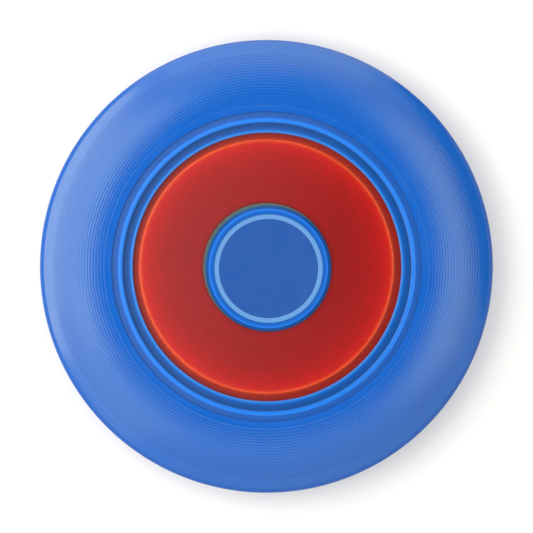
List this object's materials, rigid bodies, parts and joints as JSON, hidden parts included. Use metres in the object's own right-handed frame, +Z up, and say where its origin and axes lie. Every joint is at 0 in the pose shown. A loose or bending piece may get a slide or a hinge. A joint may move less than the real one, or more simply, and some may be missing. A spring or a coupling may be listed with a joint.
{
  "type": "flying disc",
  "caption": "Round flying disc for lawn games: a ridged shoulder over a deep rim, a stepped deck with a bezel ring, a translucent plate and a raised hub.",
  "frame": {"origin": "centre of the circle that the rim stands on, on the floor plane", "axes": "+Z up along the spin axis, out of the top of the disc; X and Y lie in the foot plane and are interchangeable"},
  "size_m": [0.24, 0.24, 0.028],
  "materials": {
    "body_blue": "moulded polyethylene, softly glossy, fine concentric ridges on the shoulder",
    "ring_blue": "translucent blue plastic with bright edges, glossy",
    "plate_red": "translucent red plastic, edge-lit towards its rim, semi-gloss",
    "gasket_grey": "matt grey-green closed-cell foam",
    "hub_blue": "translucent blue plastic with a bright edge round its flat top, glossy",
    "label_blue": "matt printed vinyl",
    "label_light_blue": "matt printed vinyl"
  },
  "bodies": {
    "root": {"disc_body": "body_blue", "deck_ring": "ring_blue", "deck_plate": "plate_red", "hub_gasket": "gasket_grey", "hub_cap": "hub_blue", "hub_label": "label_blue", "hub_label_ring": "label_light_blue"}
  },
  "joints": []
}
